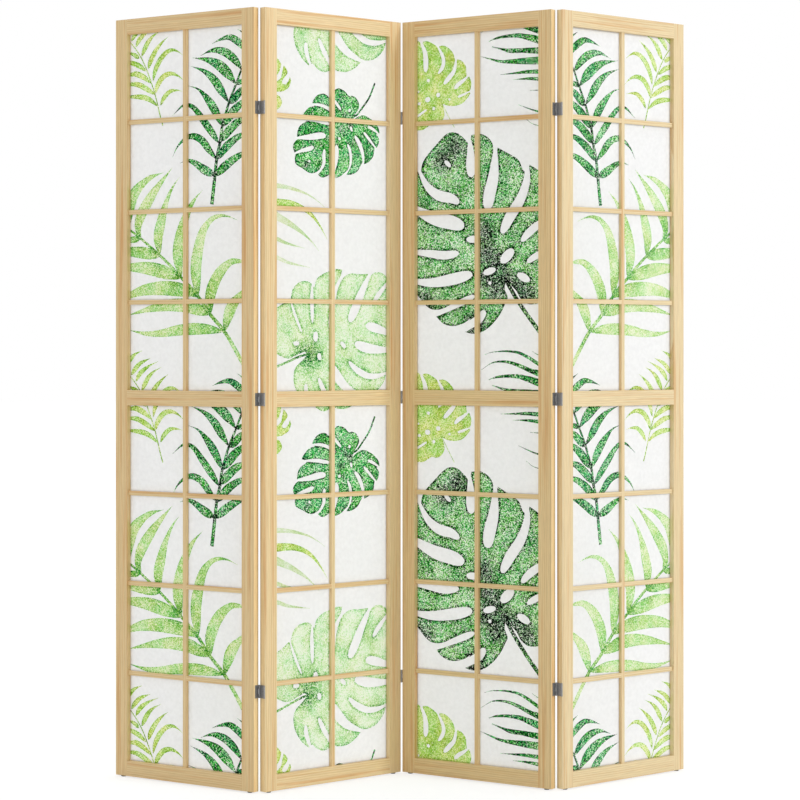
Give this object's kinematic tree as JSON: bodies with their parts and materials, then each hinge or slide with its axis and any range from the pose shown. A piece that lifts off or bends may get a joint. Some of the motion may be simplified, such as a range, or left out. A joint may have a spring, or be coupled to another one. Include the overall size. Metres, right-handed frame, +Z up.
{
  "type": "folding privacy screen",
  "caption": "Free-standing folding privacy screen: wooden lattice panels with leaf-printed paper, joined by two-way hinges and standing in a zigzag.",
  "frame": {"origin": "on the floor, at the middle of the standing zigzag's outline", "axes": "+Z up, +X along the foot line of the zigzag from the first panel to the last, the front with the lattice towards -Y"},
  "size_m": [1.2882, 0.2722, 1.7],
  "materials": {
    "pine": "clear satin",
    "printed_paper": "matt, with a print of green leaves on the front",
    "beech": "raw",
    "hinge_steel": "dark zinc plated",
    "screw_steel": "dark zinc plated",
    "glide_plastic": "moulded"
  },
  "bodies": {
    "panel_1": {"panel_1_left_stile": "pine", "panel_1_right_stile": "pine", "panel_1_bottom_rail": "pine", "panel_1_middle_rail": "pine", "panel_1_top_rail": "pine", "panel_1_upright_bars": "pine", "panel_1_cross_bars": "pine", "panel_1_paper_sheets": "printed_paper", "panel_1_retaining_beads": "pine", "panel_1_dowels": "beech", "panel_1_glides": "glide_plastic", "panel_1_right_hinge_leaves": "hinge_steel", "panel_1_hinge_screws": "screw_steel"},
    "fold_1_2_link": {"fold_1_2_middle_leaves": "hinge_steel", "fold_1_2_hinge_pins": "screw_steel"},
    "panel_2": {"panel_2_left_stile": "pine", "panel_2_right_stile": "pine", "panel_2_bottom_rail": "pine", "panel_2_middle_rail": "pine", "panel_2_top_rail": "pine", "panel_2_upright_bars": "pine", "panel_2_cross_bars": "pine", "panel_2_paper_sheets": "printed_paper", "panel_2_retaining_beads": "pine", "panel_2_dowels": "beech", "panel_2_glides": "glide_plastic", "panel_2_left_hinge_leaves": "hinge_steel", "panel_2_right_hinge_leaves": "hinge_steel", "panel_2_hinge_screws": "screw_steel"},
    "fold_2_3_link": {"fold_2_3_middle_leaves": "hinge_steel", "fold_2_3_hinge_pins": "screw_steel"},
    "panel_3": {"panel_3_left_stile": "pine", "panel_3_right_stile": "pine", "panel_3_bottom_rail": "pine", "panel_3_middle_rail": "pine", "panel_3_top_rail": "pine", "panel_3_upright_bars": "pine", "panel_3_cross_bars": "pine", "panel_3_paper_sheets": "printed_paper", "panel_3_retaining_beads": "pine", "panel_3_dowels": "beech", "panel_3_glides": "glide_plastic", "panel_3_left_hinge_leaves": "hinge_steel", "panel_3_right_hinge_leaves": "hinge_steel", "panel_3_hinge_screws": "screw_steel"},
    "fold_3_4_link": {"fold_3_4_middle_leaves": "hinge_steel", "fold_3_4_hinge_pins": "screw_steel"},
    "panel_4": {"panel_4_left_stile": "pine", "panel_4_right_stile": "pine", "panel_4_bottom_rail": "pine", "panel_4_middle_rail": "pine", "panel_4_top_rail": "pine", "panel_4_upright_bars": "pine", "panel_4_cross_bars": "pine", "panel_4_paper_sheets": "printed_paper", "panel_4_retaining_beads": "pine", "panel_4_dowels": "beech", "panel_4_glides": "glide_plastic", "panel_4_left_hinge_leaves": "hinge_steel", "panel_4_hinge_screws": "screw_steel"}
  },
  "joints": [
    {"name": "fold_1_2", "type": "hinge", "parent": "panel_1", "child": "fold_1_2_link", "pos_m": [-0.32309, -0.12124, 0.8515], "axis": [0, 0, 1], "range_deg": [-78.6, 101]},
    {"name": "reverse_fold_1_2", "type": "hinge", "parent": "fold_1_2_link", "child": "panel_2", "pos_m": [-0.31232, -0.13439, 0.8515], "axis": [0, 0, 1], "range_deg": [-179.5, 0]},
    {"name": "reverse_fold_2_3", "type": "hinge", "parent": "panel_2", "child": "fold_2_3_link", "pos_m": [-0.01077, 0.13439, 0.8515], "axis": [0, 0, -1], "range_deg": [-179.5, 0]},
    {"name": "fold_2_3", "type": "hinge", "parent": "fold_2_3_link", "child": "panel_3", "pos_m": [0, 0.12124, 0.8515], "axis": [0, 0, -1], "range_deg": [-78.6, 101]},
    {"name": "fold_3_4", "type": "hinge", "parent": "panel_3", "child": "fold_3_4_link", "pos_m": [0.32309, -0.12124, 0.8515], "axis": [0, 0, 1], "range_deg": [-78.6, 101]},
    {"name": "reverse_fold_3_4", "type": "hinge", "parent": "fold_3_4_link", "child": "panel_4", "pos_m": [0.33386, -0.13439, 0.8515], "axis": [0, 0, 1], "range_deg": [-179.5, 0]}
  ]
}
